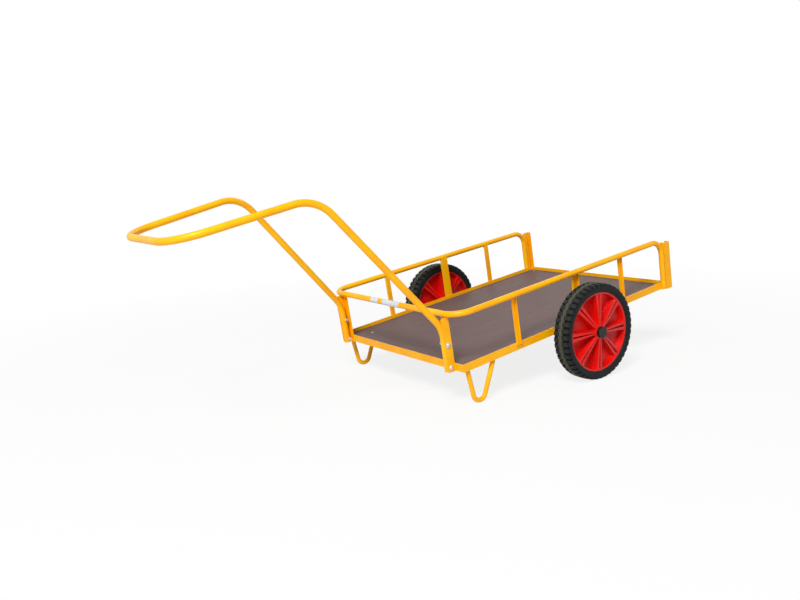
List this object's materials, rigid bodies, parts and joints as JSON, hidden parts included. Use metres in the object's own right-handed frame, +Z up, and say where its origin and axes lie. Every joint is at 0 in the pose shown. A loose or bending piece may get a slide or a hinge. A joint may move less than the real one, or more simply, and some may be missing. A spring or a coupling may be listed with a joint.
{
  "type": "hand cart",
  "caption": "Two-wheeled hand cart: railed flat deck on a fixed axle, bent tube pull handle, V-shaped front legs and red spoked wheels.",
  "frame": {"origin": "on the floor, under the middle of the cart's overall length and width", "axes": "+X towards the pull handle, +Y to the cart's left, +Z up; the deck parks nose down by 7.0 degrees"},
  "size_m": [2.1844, 1.0752, 0.8055],
  "materials": {
    "yellow_paint": "smooth gloss paint",
    "deck_board": "brown film-faced plywood, satin",
    "tyre_rubber": "moulded rubber",
    "rim_plastic": "moulded, glossy",
    "bush_plastic": "moulded",
    "cap_plastic": "moulded",
    "zinc_steel": "zinc plated"
  },
  "bodies": {
    "cart": {"axle_beam": "yellow_paint", "bearer_aft": "yellow_paint", "bearer_fore": "yellow_paint", "collar_left": "zinc_steel", "collar_right": "zinc_steel", "deck_panel": "deck_board", "frame_front": "yellow_paint", "frame_left": "yellow_paint", "frame_rear": "yellow_paint", "frame_right": "yellow_paint", "guard_rail": "yellow_paint", "handle": "yellow_paint", "leg_left": "yellow_paint", "leg_right": "yellow_paint", "nut_left": "zinc_steel", "nut_right": "zinc_steel", "post_left": "yellow_paint", "post_right": "yellow_paint", "rear_channel_left": "yellow_paint", "rear_channel_right": "yellow_paint", "spindle_left": "zinc_steel", "spindle_right": "zinc_steel", "upright_aft_left": "yellow_paint", "upright_aft_right": "yellow_paint", "upright_fore_left": "yellow_paint", "upright_fore_right": "yellow_paint", "upright_mid_left": "yellow_paint", "upright_mid_right": "yellow_paint", "washer_left": "zinc_steel", "washer_right": "zinc_steel"},
    "wheel_left": {"bush_left": "bush_plastic", "cap_left": "cap_plastic", "rim_left": "rim_plastic", "tyre_left": "tyre_rubber"},
    "wheel_right": {"bush_right": "bush_plastic", "cap_right": "cap_plastic", "rim_right": "rim_plastic", "tyre_right": "tyre_rubber"}
  },
  "joints": [
    {"name": "wheel_left_spin", "type": "hinge", "parent": "cart", "child": "wheel_left", "pos_m": [-0.5058, 0.4901, 0.194], "axis": [0, 1, 0], "continuous": true},
    {"name": "wheel_right_spin", "type": "hinge", "parent": "cart", "child": "wheel_right", "pos_m": [-0.5058, -0.4901, 0.194], "axis": [0, 1, 0], "continuous": true}
  ]
}
